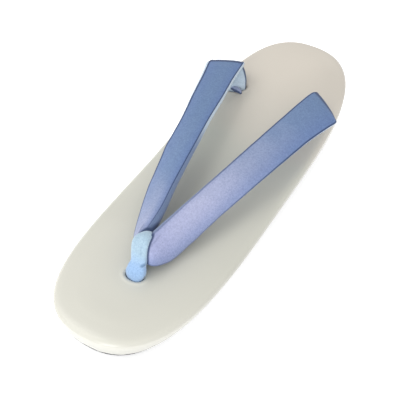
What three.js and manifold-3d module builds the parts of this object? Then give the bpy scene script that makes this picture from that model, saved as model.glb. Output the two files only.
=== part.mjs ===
// A thong sandal: a black wedge sole, a padded ivory footbed on it, two padded straps that join
// between the toes, and a fabric toe loop that ties their joint to the footbed.
// Millimetres. The toe points to -Y, the heel to +Y, +Z is up, and the floor is z = 0.
// The origin is on the floor, half way along the sandal and on its centre line.

import * as THREE from 'three';
import { mergeVertices } from 'three/addons/utils/BufferGeometryUtils.js';
import Module from 'manifold-3d';

const wasm = await Module();
wasm.setup();

// Driving dimensions.

const LENGTH = 245; // toe to heel, along the widest line of the footbed
const MID_HALF_WIDTH = 41.2; // half the width at mid length, before the ends round off
const HEEL_TAPER = 1.0; // how much narrower the heel's half is than the toe's
const WAIST = 12.9; // how much the sides draw in at mid length
const TOE_ROUNDNESS = 2.33; // exponent of the toe's curve: 2 is an ellipse, more is squarer
const HEEL_ROUNDNESS = 2.38;
const SEAM_GAP = 0.3; // left between two pieces that lie on each other

// Heights along the last, a row per station. rim is the widest line of the footbed, welt the line
// where footbed and sole meet, and lift how far the underside stands off the floor.
const LAST = [
  { y: -122.5, rim: 19.6, welt: 10.4, lift: 2.0 },
  { y: -110.0, rim: 18.5, welt: 10.7, lift: 0.9 },
  { y: -92.0, rim: 17.5, welt: 11.5, lift: 0.0 },
  { y: -60.0, rim: 16.9, welt: 12.7, lift: 0.0 },
  { y: -25.0, rim: 17.7, welt: 13.8, lift: 0.0 },
  { y: 10.0, rim: 19.8, welt: 14.9, lift: 0.0 },
  { y: 45.0, rim: 23.8, welt: 16.3, lift: 0.0 },
  { y: 80.0, rim: 28.9, welt: 17.7, lift: 0.0 },
  { y: 105.0, rim: 33.2, welt: 18.7, lift: 0.0 },
  { y: 122.5, rim: 36.6, welt: 19.4, lift: 0.8 },
];

// The footbed's edge in section, a row per fold line from under the board round to the top.
// inset is measured in from the outline, wall runs 0 at the welt to 1 at the rim, and over runs
// 0 at the rim to 1 on top of the padding.
const EDGE_RISE = 3.7; // padding's height over the widest line
const FOOTBED_EDGE = [
  { inset: 4.2, wall: 0.0, over: 0.0 },
  { inset: 1.9, wall: 0.12, over: 0.0 },
  { inset: 0.7, wall: 0.5, over: 0.0 },
  { inset: 0.0, wall: 1.0, over: 0.0 },
  { inset: 0.45, wall: 1.0, over: 0.38 },
  { inset: 1.75, wall: 1.0, over: 0.71 },
  { inset: 3.65, wall: 1.0, over: 0.92 },
  { inset: 6.2, wall: 1.0, over: 1.0 },
];
const CROWN = 1.2; // how much the padding swells over the middle of the footbed
const CROWN_INSETS = [9, 13, 18];

// The sole's side in section: inset from the outline, and height from floor (0) to welt (1).
const SOLE_SIDE = [
  { inset: 9.9, height: 0.0 },
  { inset: 8.7, height: 0.08 },
  { inset: 6.2, height: 0.5 },
  { inset: 3.9, height: 0.9 },
  { inset: 3.3, height: 1.0 },
];

// The right-hand strap, a row per section from its front end to its rear end. in is the edge next
// to the centre line, out the edge on the little toe's side, and thick the padding's thickness.
const STRAP = [
  { inX: 1.4, inY: -71.0, inZ: 35.0, outX: 6.0, outY: -72.8, outZ: 29.6, thick: 3.6 },
  { inX: 0.6, inY: -69.0, inZ: 36.4, outX: 8.0, outY: -71.2, outZ: 27.8, thick: 6.6 },
  { inX: 0.4, inY: -65.0, inZ: 37.4, outX: 9.8, outY: -67.8, outZ: 26.0, thick: 7.8 },
  { inX: 1.2, inY: -58.0, inZ: 37.8, outX: 11.0, outY: -61.4, outZ: 24.4, thick: 8.2 },
  { inX: 3.4, inY: -45.0, inZ: 39.3, outX: 14.8, outY: -48.5, outZ: 26.8, thick: 8.0 },
  { inX: 6.3, inY: -30.0, inZ: 41.4, outX: 19.4, outY: -33.5, outZ: 30.8, thick: 7.6 },
  { inX: 9.4, inY: -15.0, inZ: 43.6, outX: 23.9, outY: -18.5, outZ: 34.6, thick: 7.2 },
  { inX: 12.1, inY: 0.0, inZ: 45.0, outX: 28.2, outY: -3.5, outZ: 37.8, thick: 6.8 },
  { inX: 15.2, inY: 20.0, inZ: 45.9, outX: 33.2, outY: 15.6, outZ: 40.8, thick: 6.2 },
  { inX: 18.0, inY: 40.0, inZ: 46.2, outX: 38.2, outY: 34.6, outZ: 42.8, thick: 5.8 },
  { inX: 20.6, inY: 57.0, inZ: 46.2, outX: 42.2, outY: 49.6, outZ: 43.4, thick: 5.6 },
  { inX: 23.2, inY: 71.8, inZ: 46.0, outX: 44.2, outY: 60.0, outZ: 42.8, thick: 5.2 },
  { inX: 24.0, inY: 73.8, inZ: 45.4, outX: 43.8, outY: 61.8, outZ: 42.2, thick: 4.0 },
];

// How far the left-hand strap's front end is tucked in under the toe loop.
const LEFT_TUCK = 2.4;
const TUCK_FROM = -52;
const TUCK_LENGTH = 14;

// The rear end of the strap, folded down and gathered into its hole in the footbed.
const STRAP_LEG = [
  { inX: 23.8, inY: 71.8, inZ: 44.6, outX: 41.6, outY: 61.2, outZ: 42.4, thick: 3.6 },
  { inX: 23.2, inY: 72.8, inZ: 41.4, outX: 38.6, outY: 63.4, outZ: 39.6, thick: 3.8 },
  { inX: 21.8, inY: 73.2, inZ: 36.6, outX: 33.4, outY: 66.2, outZ: 35.6, thick: 4.6 },
  { inX: 20.6, inY: 73.0, inZ: 32.0, outX: 30.2, outY: 67.2, outZ: 31.6, thick: 5.6 },
  { inX: 20.4, inY: 72.8, inZ: 27.0, outX: 29.6, outY: 67.2, outZ: 27.0, thick: 5.6 },
  { inX: 20.4, inY: 72.8, inZ: 17.9, outX: 29.6, outY: 67.2, outZ: 17.9, thick: 5.6 },
];

// The bend between the two straps, which the toe loop goes round: rows from the centre line out.
const BEND = [
  { inX: 0.0, inY: -64.6, inZ: 36.8, outX: 0.0, outY: -72.2, outZ: 28.8, thick: 5.6 },
  { inX: 3.4, inY: -65.0, inZ: 36.4, outX: 3.7, outY: -71.4, outZ: 29.0, thick: 5.0 },
  { inX: 5.0, inY: -65.6, inZ: 35.0, outX: 5.4, outY: -70.2, outZ: 29.4, thick: 3.4 },
];

// The toe loop, a row per section across the sandal: its front leg from its hole in the footbed
// up over the bend, and its rear leg from there down behind the bend to the same hole.
const LOOP_FRONT = [
  { x: 0.0, y: -80.4, z: 12.7, width: 8.0, thick: 6.0 },
  { x: 0.0, y: -80.4, z: 20.5, width: 9.2, thick: 6.4 },
  { x: 0.3, y: -79.4, z: 25.0, width: 11.0, thick: 6.6 },
  { x: -0.2, y: -77.0, z: 29.4, width: 9.8, thick: 4.8 },
  { x: -0.7, y: -74.6, z: 33.0, width: 9.2, thick: 4.2 },
  { x: -0.9, y: -71.6, z: 36.6, width: 8.6, thick: 4.0 },
  { x: -0.9, y: -67.8, z: 38.0, width: 7.4, thick: 3.4 },
  { x: -0.4, y: -64.2, z: 37.0, width: 5.2, thick: 3.2 },
];
const LOOP_REAR = [
  { x: -0.6, y: -66.0, z: 37.6, width: 6.0, thick: 3.2 },
  { x: -0.2, y: -62.4, z: 35.8, width: 4.4, thick: 3.0 },
  { x: 0.0, y: -60.2, z: 33.0, width: 3.8, thick: 3.0 },
  { x: 0.0, y: -61.2, z: 28.6, width: 3.6, thick: 3.0 },
  { x: 0.0, y: -65.2, z: 25.6, width: 4.4, thick: 3.2 },
  { x: 0.0, y: -71.0, z: 24.6, width: 6.0, thick: 3.6 },
  { x: -0.1, y: -77.6, z: 24.0, width: 7.4, thick: 4.2 },
];
const HOLE_OVERRUN = 3; // how far below the legs' ends their holes are cut, clear of the footbed

// How finely the curves are cut.
const OUTLINE_STEPS = 96;
const STRAP_SIDES = 20;
const STEPS_PER_ROW = 3;
const BAND_SQUARENESS = 2.6; // exponent of a padded band's section: 2 is an ellipse

// Reads one column of a table at y, on a smooth curve through its rows.
function alongLast(column, y) {
  const last = LAST.length - 1;
  let i = 0;
  while (i < last - 1 && y > LAST[i + 1].y) {
    i += 1;
  }
  const slope = (k) => {
    const a = LAST[Math.max(k - 1, 0)];
    const b = LAST[Math.min(k + 1, last)];
    return (b[column] - a[column]) / (b.y - a.y);
  };
  const span = LAST[i + 1].y - LAST[i].y;
  const t = THREE.MathUtils.clamp((y - LAST[i].y) / span, 0, 1);
  const [a, b] = [LAST[i][column], LAST[i + 1][column]];
  const curve = (1 + 2 * t) * (1 - t) ** 2 * a + t * t * (3 - 2 * t) * b;
  const bend = t * (1 - t) ** 2 * slope(i) - t * t * (1 - t) * slope(i + 1);
  return Math.max(curve + bend * span, 0);
}

// A point of the outline. turn runs once round from the toe, by the right side first.
function outlinePoint(turn) {
  const u = -Math.cos(turn * 2 * Math.PI);
  const roundness = u < 0 ? TOE_ROUNDNESS : HEEL_ROUNDNESS;
  const body = MID_HALF_WIDTH - HEEL_TAPER * u + WAIST * u * u;
  const round = Math.max(1 - Math.abs(u) ** roundness, 0) ** (1 / roundness);
  return new THREE.Vector2(Math.sign(Math.sin(turn * 2 * Math.PI)) * body * round, (u * LENGTH) / 2);
}

// The outline moved in by a distance, square to itself.
function insetOutline(inset) {
  const step = 0.002;
  return Array.from({ length: OUTLINE_STEPS }, (_, i) => {
    const turn = i / OUTLINE_STEPS;
    const way = outlinePoint(turn + step).sub(outlinePoint(turn - step)).normalize();
    const inwards = new THREE.Vector2(-way.y, way.x);
    return outlinePoint(turn).addScaledVector(inwards, inset);
  });
}

// One closed body through rings of points. Every ring has its points in mirrored pairs, so the two
// end rings are closed by rungs between the pairs.
function loft(rings) {
  const sides = rings[0].length;
  const positions = rings.flat().flatMap((p) => [p.x, p.y, p.z]);
  const faces = [];
  const quad = (a, b, c, d) => faces.push(a, b, c, a, c, d);
  for (let r = 0; r < rings.length - 1; r += 1) {
    for (let i = 0; i < sides; i += 1) {
      const j = (i + 1) % sides;
      quad(r * sides + i, r * sides + j, (r + 1) * sides + j, (r + 1) * sides + i);
    }
  }
  const closeEnd = (first, flip) => {
    for (let i = 0; i < sides / 2; i += 1) {
      const corners = [i, i + 1, sides - i - 1, (sides - i) % sides].map((k) => first + k);
      quad(...(flip ? corners.reverse() : corners));
    }
  };
  closeEnd(0, true);
  closeEnd((rings.length - 1) * sides, false);
  const geometry = new THREE.BufferGeometry();
  geometry.setAttribute('position', new THREE.Float32BufferAttribute(positions, 3));
  geometry.setIndex(faces);
  return geometry;
}

// A three.js geometry as a solid that can be joined and cut, turned outside out if it has to be.
function solid(geometry) {
  const merged = mergeVertices(geometry, 1e-4);
  const index = Array.from(merged.index.array);
  const faces = [];
  for (let i = 0; i < index.length; i += 3) {
    const [a, b, c] = index.slice(i, i + 3);
    if (a !== b && b !== c && c !== a) {
      faces.push(a, b, c);
    }
  }
  const build = (triVerts) =>
    new wasm.Manifold(
      new wasm.Mesh({
        numProp: 3,
        vertProperties: new Float32Array(merged.attributes.position.array),
        triVerts: new Uint32Array(triVerts),
      }),
    );
  const body = build(faces);
  return body.volume() > 0 ? body : build(faces.reverse());
}

function mesh(name, body, colour, roughness) {
  const { vertProperties, triVerts, numProp } = body.getMesh();
  const positions = new Float32Array((vertProperties.length / numProp) * 3);
  for (let i = 0; i < positions.length; i += 1) {
    positions[i] = vertProperties[Math.floor(i / 3) * numProp + (i % 3)];
  }
  const geometry = new THREE.BufferGeometry();
  geometry.setAttribute('position', new THREE.BufferAttribute(positions, 3));
  geometry.setIndex(Array.from(triVerts));
  geometry.computeVertexNormals();
  const material = new THREE.MeshStandardMaterial({ color: colour, roughness, metalness: 0 });
  const piece = new THREE.Mesh(geometry, material);
  piece.name = name;
  return piece;
}

// The padded footbed, before its holes: folded edge, padding and a slight crown.
function footbed() {
  const rings = FOOTBED_EDGE.map(({ inset, wall, over }) =>
    insetOutline(inset).map(({ x, y }) => {
      const welt = alongLast('welt', y) + SEAM_GAP;
      const z = THREE.MathUtils.lerp(welt, alongLast('rim', y), wall) + over * EDGE_RISE;
      return new THREE.Vector3(x, y, z);
    }),
  );
  const edge = FOOTBED_EDGE.at(-1).inset;
  const flat = CROWN_INSETS.at(-1);
  for (const inset of CROWN_INSETS) {
    const swell = CROWN * (1 - ((flat - inset) / (flat - edge)) ** 2);
    rings.push(
      insetOutline(inset).map(
        ({ x, y }) => new THREE.Vector3(x, y, alongLast('rim', y) + EDGE_RISE + swell),
      ),
    );
  }
  return solid(loft(rings));
}

// The wedge sole, its side drawn in towards the floor and its toe sprung off it.
function sole() {
  const rings = SOLE_SIDE.map(({ inset, height }) =>
    insetOutline(inset).map(({ x, y }) => {
      const z = THREE.MathUtils.lerp(alongLast('lift', y), alongLast('welt', y), height);
      return new THREE.Vector3(x, y, z);
    }),
  );
  return solid(loft(rings));
}

// A padded band through the rows of a table, made fatter all round by grow.
function band(rows, grow = 0) {
  const point = (row, edge) => new THREE.Vector3(row[`${edge}X`], row[`${edge}Y`], row[`${edge}Z`]);
  const inner = new THREE.CatmullRomCurve3(rows.map((row) => point(row, 'in')), false, 'centripetal');
  const outer = new THREE.CatmullRomCurve3(rows.map((row) => point(row, 'out')), false, 'centripetal');
  const sections = (rows.length - 1) * STEPS_PER_ROW;
  const middle = (t) => inner.getPoint(t).add(outer.getPoint(t)).multiplyScalar(0.5);
  const rings = [];
  for (let s = 0; s <= sections; s += 1) {
    const t = s / sections;
    const nearby = 0.25 / sections;
    const along = middle(Math.min(t + nearby, 1)).sub(middle(Math.max(t - nearby, 0))).normalize();
    const across = outer.getPoint(t).sub(inner.getPoint(t));
    const half = across.length() / 2 + grow;
    across.normalize();
    const face = new THREE.Vector3().crossVectors(across, along).normalize();
    const row = Math.min(Math.floor(s / STEPS_PER_ROW), rows.length - 2);
    const thick = THREE.MathUtils.lerp(rows[row].thick, rows[row + 1].thick, s / STEPS_PER_ROW - row);
    const end = s === 0 ? -grow : s === sections ? grow : 0;
    const centre = middle(t).addScaledVector(along, end);
    rings.push(bandSection(centre, across, face, half, thick / 2 + grow));
  }
  return solid(loft(rings));
}

// The section of a padded band: a squarish oval, half wide along across and deep along face.
function bandSection(centre, across, face, half, deep) {
  const power = 2 / BAND_SQUARENESS;
  return Array.from({ length: STRAP_SIDES }, (_, i) => {
    const turn = (i / STRAP_SIDES) * 2 * Math.PI;
    const u = Math.sign(Math.cos(turn)) * Math.abs(Math.cos(turn)) ** power;
    const v = Math.sign(Math.sin(turn)) * Math.abs(Math.sin(turn)) ** power;
    return centre.clone().addScaledVector(across, u * half).addScaledVector(face, v * deep);
  });
}

// A leg of the toe loop as a band whose rows lie across the centre line.
function loopLeg(rows, grow) {
  const asBand = rows.map(({ x, y, z, width, thick }) => ({
    inX: x - width / 2,
    inY: y,
    inZ: z,
    outX: x + width / 2,
    outY: y,
    outZ: z,
    thick,
  }));
  return band(asBand, grow);
}

// The toe loop, or the space that it needs: fatter by grow, its foot longer by overrun.
function toeLoop(grow = 0, overrun = 0) {
  const [foot, ...above] = LOOP_FRONT;
  const front = [{ ...foot, z: foot.z - overrun }, ...above];
  return loopLeg(front, grow).add(loopLeg(LOOP_REAR, grow));
}

function mirrored(rows) {
  return rows.map((row) => ({ ...row, inX: -row.inX, outX: -row.outX }));
}

function bend() {
  return band([...mirrored(BEND.slice(1)).reverse(), ...BEND]);
}

// The left-hand strap: the right-hand one mirrored, with its front end tucked in.
function leftStrap() {
  return mirrored(STRAP).map((row) => {
    const tuck = THREE.MathUtils.clamp((TUCK_FROM - row.outY) / TUCK_LENGTH, 0, 1) * LEFT_TUCK;
    return { ...row, outX: row.outX + tuck };
  });
}

function strapLegs(grow = 0, overrun = 0) {
  const foot = STRAP_LEG.at(-1);
  const deeper = { ...foot, inZ: foot.inZ - overrun, outZ: foot.outZ - overrun };
  const rows = [...STRAP_LEG.slice(0, -1), deeper];
  return band(rows, grow).add(band(mirrored(rows), grow));
}

// Both straps with their rear legs, joined at the bend and grooved where the toe loop holds them.
function straps() {
  const pair = band(STRAP).add(band(leftStrap())).add(bend());
  return pair.add(strapLegs()).subtract(toeLoop(SEAM_GAP));
}

// The footbed with the holes that the toe loop and the straps' legs go down.
function holedFootbed() {
  return footbed()
    .subtract(toeLoop(SEAM_GAP, HOLE_OVERRUN))
    .subtract(strapLegs(SEAM_GAP, HOLE_OVERRUN));
}

const sandal = new THREE.Group();
sandal.add(mesh('sole', sole(), 0x2b2a2d, 0.6));
sandal.add(mesh('footbed', holedFootbed(), 0xdbd8cb, 0.4));
sandal.add(mesh('straps', straps(), 0x8c9dcc, 0.85));
sandal.add(mesh('toe_loop', toeLoop(), 0xa3c2e4, 0.95));

export default sandal;
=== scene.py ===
"""A zori sandal: ivory padded footbed on a black foam sole, two crepe straps and a soft toe loop.

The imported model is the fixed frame. Each piece is a fine mesh that stands where its solid stands.
Tables are in millimetres, in the frame's own axes: the toe points to -Y, the heel to +Y, +Z is up.
"""

import math
from functools import partial

import bmesh
import bpy
import numpy as np
from bpy.props import FloatProperty, FloatVectorProperty, IntProperty, PointerProperty
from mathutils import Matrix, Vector
from mathutils.kdtree import KDTree


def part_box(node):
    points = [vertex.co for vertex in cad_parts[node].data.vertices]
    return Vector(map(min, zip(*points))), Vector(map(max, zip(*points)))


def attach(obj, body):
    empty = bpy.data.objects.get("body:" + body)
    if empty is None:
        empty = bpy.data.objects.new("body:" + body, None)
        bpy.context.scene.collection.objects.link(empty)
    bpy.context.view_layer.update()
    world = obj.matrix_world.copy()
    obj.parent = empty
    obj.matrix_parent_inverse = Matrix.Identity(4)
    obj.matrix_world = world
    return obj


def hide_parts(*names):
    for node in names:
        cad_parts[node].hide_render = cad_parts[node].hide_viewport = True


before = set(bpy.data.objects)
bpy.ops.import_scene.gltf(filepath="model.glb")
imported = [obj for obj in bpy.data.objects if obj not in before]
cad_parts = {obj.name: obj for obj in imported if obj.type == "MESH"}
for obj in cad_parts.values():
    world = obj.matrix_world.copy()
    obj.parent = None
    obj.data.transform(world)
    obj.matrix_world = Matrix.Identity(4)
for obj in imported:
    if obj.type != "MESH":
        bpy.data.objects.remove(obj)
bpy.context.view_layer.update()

bl_info = {
    "name": "Zori sandal",
    "version": (1, 0, 0),
    "blender": (4, 5, 0),
    "location": "3D View > Sidebar > Zori",
    "description": "Dresses the packed zori sandal with its footbed, sole, straps and toe loop",
    "category": "Object",
}

MM = 0.001
TAU = 2 * math.pi
DOUBLES = 1e-6


def table(columns, *rows):
    """A short table with named columns, as one array for each column."""
    return dict(zip(columns.split(), np.array(rows, float).T))


def rows_of(columns):
    """The rows of such a table, each with its columns' names."""
    return [dict(zip(columns, row)) for row in zip(*columns.values())]


# The last: outline, and heights at stations from toe to heel.

FOOTBED_LOW, FOOTBED_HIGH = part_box("footbed")
LENGTH = (FOOTBED_HIGH.y - FOOTBED_LOW.y) / MM
MID_HALF_WIDTH = 41.2
HEEL_TAPER = 1.0
WAIST = 12.9
TOE_ROUNDNESS = 2.33
HEEL_ROUNDNESS = 2.38
SEAM_GAP = 0.3

LAST = table(
    "y rim welt lift",
    (-122.5, 19.2, 9.0, 2.0),
    (-110.0, 18.3, 9.8, 0.9),
    (-92.0, 17.4, 11.1, 0.0),
    (-60.0, 16.9, 12.7, 0.0),
    (-25.0, 17.7, 13.8, 0.0),
    (10.0, 19.8, 14.9, 0.0),
    (45.0, 23.8, 16.3, 0.0),
    (80.0, 28.9, 17.7, 0.0),
    (105.0, 33.2, 18.7, 0.0),
    (122.5, 36.6, 19.4, 0.8),
)

# The footbed in section, from under the board round its edge and up to the crown of its padding.
# The shade column is painted shade on the cloth where it turns under the board.
EDGE_RISE = 3.7
FOOTBED_EDGE = table(
    "inset wall over shade",
    (4.2, 0.0, 0.0, 1.0),
    (1.9, 0.12, 0.0, 1.0),
    (0.7, 0.5, 0.0, 0.75),
    (0.0, 1.0, 0.0, 0.42),
    (0.45, 1.0, 0.38, 0.2),
    (1.75, 1.0, 0.71, 0.0),
    (3.65, 1.0, 0.905, 0.0),
    (6.2, 1.0, 1.032, 0.0),
    (9.0, 1.0, 1.135, 0.0),
    (13.0, 1.0, 1.262, 0.0),
    (18.0, 1.0, 1.324, 0.0),
)

# The sole's side in section, from the floor to the welt.
SOLE_SIDE = table(
    "inset height",
    (9.9, 0.0),
    (8.7, 0.08),
    (6.2, 0.5),
    (3.9, 0.9),
    (3.3, 1.0),
)
TOE_SOLE_GROWTH = 0.95  # how much less the sole's side is drawn in at the toe
TOE_SOLE_FROM = -88.0
TOE_SOLE_LENGTH = 22.0
BORDER = 3.0  # width of the plain border under the sole, round the tread
BORDER_SLOPE = 0.6
RIB_CLEARANCE = 0.6  # from the border's slope to the line that the ribs end on
RIB_END = 1.0
SHORTEST_RIB = 4.0  # half of its length
RIB_FLARE = 1.5  # how much wider a rib is at its root
STEPS_A_WAVE = 8

# The spine of the footbed and sole: where the two sides' rings close on the centre line.
SPINE_SHARE = 0.79
OUTLINE_STEPS = 384
EDGE_RINGS = 56
TOP_RINGS = 20
UNDER_RINGS = 4
SIDE_RINGS = 21
SOLE_RINGS = 6

# The holes in the footbed: centre, direction of the long axis in degrees, half length, half width
# and depth.
HOLES = table(
    "x y turn length width depth",
    (0.7, -78.7, 0.0, 4.9, 3.5, 8.0),
    (25.3, 68.7, -31.3, 5.7, 3.3, 12.0),
    (-25.3, 68.7, 31.3, 5.7, 3.3, 12.0),
)

HOLE_ROUNDNESS = 2.3
FACING_UP = 0.5  # a face or vertex whose normal rises more than this is on the footbed's top
HOLE_ZONES = (9.0, 5.5, 2.2)  # how near to an edge the footbed's faces are cut, once for each
DENT_REACH = 7.0
WELL_SLOPE = 0.9  # width of a hole's sloping wall, seen from above
RIM_SHADE_FROM = -0.2

# The ridge round a hole: where it stands, how wide it is, and how fast the cloth falls in from it,
# in radii of the lip.
RIDGE_PLACE = 2.0
RIDGE_SPREAD = 1.1
LIP_FALL = 0.6

# The pleats below the footbed's edge, as waves round it, and where they lie: up to a share of the
# wall's height, and from a share of the half length on.
PLEATS = table("count depth shift", (74.0, 0.6, 0.0), (131.0, 0.4, 0.7))
PLEAT_HEIGHT = 0.45
PLEAT_FOOT = 0.015
PLEAT_FROM = 0.72
PLEAT_FADE = 0.2

# Each strap from its front end, over the fold at its rear end and down into its hole. in is the
# edge next to the centre line, out the edge on the outside of the foot. The left strap's table is
# laid out on the right and mirrored.
RIGHT_STRAP = table(
    "in_x in_y in_z out_x out_y out_z thick",
    (1.4, -71.0, 35.0, 5.6, -74.0, 28.8, 3.8),
    (0.6, -69.0, 36.4, 8.4, -72.3, 27.2, 6.8),
    (0.4, -65.0, 37.4, 10.4, -68.3, 25.6, 7.8),
    (1.2, -58.0, 37.8, 12.3, -61.7, 24.0, 8.2),
    (3.5, -45.0, 39.1, 15.8, -48.7, 26.4, 8.0),
    (6.6, -30.1, 41.1, 19.9, -33.6, 30.4, 7.6),
    (9.9, -15.1, 43.3, 24.6, -18.7, 34.3, 7.2),
    (12.8, -0.2, 44.7, 29.1, -3.7, 37.7, 6.8),
    (16.0, 19.8, 45.7, 34.2, 15.3, 40.6, 6.2),
    (18.9, 39.8, 46.0, 38.9, 34.4, 42.7, 5.8),
    (21.0, 56.7, 46.1, 43.2, 49.2, 43.3, 5.2),
    (22.8, 68.6, 46.0, 45.2, 56.2, 43.0, 4.4),
    (24.0, 71.7, 45.9, 44.8, 58.7, 42.8, 3.6),
    (25.2, 73.2, 45.1, 42.4, 61.5, 42.2, 2.8),
    (26.2, 73.7, 43.0, 41.0, 63.6, 40.6, 2.4),
    (24.4, 73.6, 39.8, 39.4, 64.4, 38.4, 3.2),
    (22.3, 72.8, 36.0, 34.6, 65.4, 35.4, 4.4),
    (20.6, 71.4, 32.4, 30.4, 65.6, 32.0, 5.6),
    (20.2, 71.2, 24.0, 29.8, 65.8, 24.0, 5.8),
)
LEFT_STRAP = table(
    "in_x in_y in_z out_x out_y out_z thick",
    (1.8, -70.0, 34.8, 2.4, -71.0, 31.6, 3.4),
    (1.6, -68.2, 36.0, 3.2, -69.4, 30.0, 6.0),
    (1.6, -64.6, 36.4, 5.2, -66.4, 28.0, 7.6),
    (1.8, -58.0, 36.6, 9.8, -60.9, 26.0, 8.4),
    (3.0, -45.0, 38.2, 15.6, -48.5, 28.2, 8.2),
    (5.8, -30.0, 40.6, 20.8, -33.5, 31.8, 7.6),
    (8.2, -15.0, 42.9, 24.8, -18.5, 35.0, 7.1),
    (10.6, 0.0, 44.8, 28.4, -3.5, 37.9, 6.7),
    (14.4, 20.0, 45.8, 31.8, 15.8, 40.9, 6.1),
    (17.7, 40.0, 46.1, 36.8, 35.8, 43.2, 5.7),
    (21.0, 57.0, 46.1, 40.8, 52.4, 44.5, 5.1),
    (23.0, 71.2, 46.0, 43.8, 62.4, 44.9, 4.4),
    (23.6, 74.2, 45.9, 44.4, 65.2, 44.7, 3.6),
    (24.7, 75.6, 45.1, 43.8, 67.4, 44.1, 2.8),
    (25.2, 75.7, 43.0, 42.0, 68.3, 42.0, 2.4),
    (22.9, 74.4, 39.8, 39.4, 67.2, 39.4, 3.2),
    (21.0, 73.1, 36.0, 34.6, 65.9, 35.6, 4.4),
    (20.4, 71.6, 32.4, 30.4, 65.6, 32.0, 5.6),
    (20.2, 71.2, 24.0, 29.8, 65.8, 24.0, 5.8),
)
FOLD_ROW = 11  # where the fold begins
LEG_ROW = 14.0  # below this row the dye runs along the leg's inner edge
LEG_FADE = 0.5
LEG_LINE_FROM = 0.84  # share of the half width
LEG_LINE_FADE = 0.1
HEM_SPREAD = 1.6  # how much wider than at the seams the painted dark line of shade spreads at the fold
FADE_LENGTH = 1.0  # share of the strap that the dye fades over
# Painted shade where the straps and the loop touch.
CONTACT_SHADE_DEPTH = 1.6  # how fast the dark builds up where straps and loop touch
RIDGE_SHARPNESS = 1.3

# The roll that the gathered crepe makes in front of each leg, from its outer to its inner end.
GATHER = table(
    "x y z width thick",
    (27.9, 65.9, 30.6, 1.0, 1.0),
    (26.9, 65.8, 31.9, 2.6, 2.5),
    (24.8, 65.5, 32.5, 3.5, 3.2),
    (22.6, 65.2, 32.5, 3.4, 3.1),
    (20.9, 65.0, 32.0, 2.5, 2.5),
    (20.0, 64.9, 30.7, 1.0, 1.0),
)

# The bend that joins the straps under the toe loop.
BEND = table(
    "in_x in_y in_z out_x out_y out_z thick",
    (-5.0, -65.6, 35.0, -5.4, -70.2, 29.4, 3.4),
    (-3.4, -65.0, 36.4, -3.7, -71.4, 29.0, 5.0),
    (0.0, -64.6, 36.8, 0.0, -72.2, 28.8, 5.6),
    (3.4, -65.0, 36.4, 3.7, -71.4, 29.0, 5.0),
    (5.0, -65.6, 35.0, 5.4, -70.2, 29.4, 3.4),
)

# The toe loop from its hole up its front leg, over the bend and down its rear leg.
LOOP = table(
    "x y z width thick",
    (0.8, -78.6, 15.0, 7.6, 6.0),
    (0.8, -78.6, 20.0, 8.8, 6.4),
    (1.1, -78.1, 23.4, 10.9, 6.8),
    (1.5, -77.2, 26.2, 10.2, 6.0),
    (1.7, -76.3, 28.5, 8.5, 4.9),
    (1.5, -75.2, 30.6, 8.7, 5.0),
    (0.7, -73.5, 33.4, 9.0, 4.8),
    (-0.2, -71.6, 36.0, 9.2, 4.2),
    (-0.8, -69.2, 37.7, 9.0, 3.7),
    (-0.9, -66.4, 38.0, 7.8, 3.3),
    (-0.4, -62.8, 36.2, 5.4, 3.0),
    (0.0, -60.2, 33.0, 3.8, 3.0),
    (0.0, -61.2, 28.6, 3.6, 3.0),
    (0.0, -65.2, 25.6, 4.4, 3.2),
    (0.0, -70.6, 24.4, 6.0, 3.4),
    (0.4, -75.2, 23.0, 6.4, 3.0),
    (0.6, -77.0, 19.6, 6.4, 2.8),
)

# Creases, listed one by one. along and across place a crease's middle on the band, turn is its
# direction in degrees from lengthwise, and a negative depth is a ridge. Millimetres.
RIGHT_CREASES = table(
    "along across turn length width depth",
    (6.0, -4.6, -16.0, 7.0, 0.7, 0.30),
    (7.0, -2.0, -6.0, 8.0, 0.8, 0.22),
    (6.0, 1.4, 6.0, 7.0, 0.8, 0.15),
    (24.0, -2.0, -8.0, 18.0, 3.0, 0.22),
    (64.0, 2.0, 9.0, 26.0, 4.5, 0.15),
    (100.0, -4.0, -7.0, 22.0, 4.0, 0.15),
    (139.0, 1.0, 80.0, 12.0, 1.6, 0.15),
)
LEFT_CREASES = table(
    "along across turn length width depth",
    (7.0, -2.8, -8.0, 8.0, 0.7, 0.35),
    (8.0, 0.2, 2.0, 10.0, 0.8, 0.30),
    (7.0, 3.0, 9.0, 8.0, 0.7, 0.20),
    (26.0, 2.4, 8.0, 18.0, 2.4, 0.28),
    (50.0, -1.4, -6.0, 22.0, 3.4, 0.22),
    (66.0, 5.0, 34.0, 9.0, 2.6, 0.28),
    (104.0, 3.0, 5.0, 24.0, 4.0, 0.15),
    (139.0, 1.0, 80.0, 12.0, 1.6, 0.15),
)
LOOP_CREASES = table(
    "along across turn length width depth",
    (15.7, 4.1, 44.0, 2.6, 0.95, 0.60),
    (14.0, -0.4, 62.0, 2.2, 1.20, 0.30),
    (13.4, -3.8, 40.0, 2.2, 1.20, 0.30),
    (9.4, -1.0, 20.0, 2.6, 1.20, 0.20),
    (18.0, -0.6, 30.0, 3.0, 1.20, 0.26),
    (20.0, -2.8, 14.0, 3.4, 1.00, 0.24),
    (21.6, 2.0, -14.0, 3.0, 0.80, 0.28),
    (22.8, -0.4, 4.0, 2.6, 0.80, 0.22),
)

# What sets the straps apart. seams says how far above its outer and inner edge the seams run, in
# radians of its section. ridge is where the face's painted shade is least, as a share of the half
# width, and how much painted shade it gets towards the inner edge. The hem row is where a painted
# dark line of shade crosses its upper face, at the fold.
RIGHT = {
    "side": 1,
    "rows": RIGHT_STRAP,
    "creases": RIGHT_CREASES,
    "seams": (0.16, 0.32),
    "ridge": (-0.55, 0.6),
    "hem_shade": 12.3,
}
LEFT = {
    "side": -1,
    "rows": LEFT_STRAP,
    "creases": LEFT_CREASES,
    "seams": (0.66, 0.34),
    "ridge": (-0.25, 1.0),
    "hem_shade": 11.7,
}

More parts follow.
